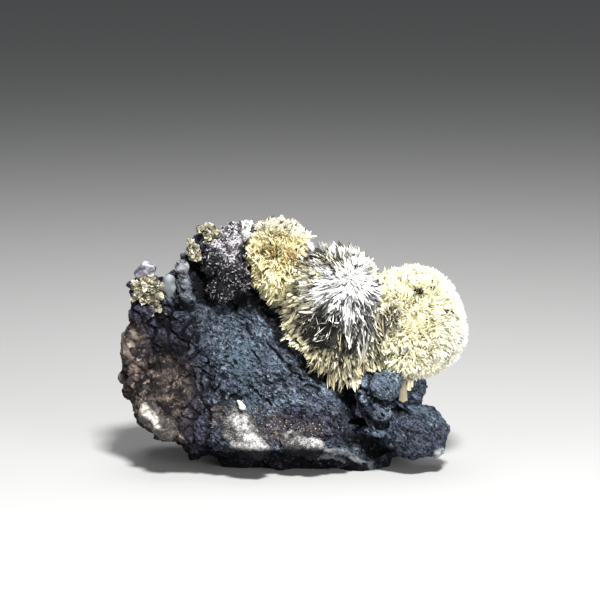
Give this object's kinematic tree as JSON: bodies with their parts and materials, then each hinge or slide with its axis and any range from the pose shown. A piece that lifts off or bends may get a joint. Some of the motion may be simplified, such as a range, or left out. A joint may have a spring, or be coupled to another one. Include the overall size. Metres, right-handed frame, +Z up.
{
  "type": "aragonite specimen",
  "caption": "Radiating sprays of cream and white aragonite crystals grown over a dark craggy host rock, standing on the rock's flat foot.",
  "frame": {"origin": "under the middle of the specimen's bounding box, on the surface that it stands on", "axes": "+X along the specimen's length, towards the cream spray; +Y towards the back; +Z up"},
  "size_m": [0.0874, 0.047, 0.0634],
  "materials": {
    "host_rock": "matt, dark slate-blue iron-rich rock with black cracks and a dusty bloom on its high places",
    "honey_aragonite": "satin, honey-cream bladed crystals with faint orange stains",
    "white_aragonite": "satin, near-white streaky blades with cream tips and dark gaps between them",
    "cream_aragonite": "satin, pale lemon-cream tips set closely together",
    "tan_aragonite": "satin, olive-tan flat blades",
    "grey_druse": "dark grey with sparkling white crystal faces",
    "white_calcite": "milky, glassy where its faces catch the light",
    "grey_calcite": "smooth, waxy blue-grey"
  },
  "bodies": {
    "root": {"host_rock": "host_rock", "honey_spray": "honey_aragonite", "sunburst_spray": "white_aragonite", "cream_spray": "cream_aragonite", "druse_boulder": "grey_druse", "white_knob": "white_calcite", "corner_calcite": "white_calcite", "grey_crystal": "grey_calcite", "front_calcite": "white_calcite", "lip_calcite": "white_calcite", "left_calcite": "white_calcite", "calcite_blade": "white_calcite", "upper_tuft": "tan_aragonite", "shoulder_tuft": "tan_aragonite", "corner_tuft": "tan_aragonite", "stray_blades": "tan_aragonite"}
  },
  "joints": []
}
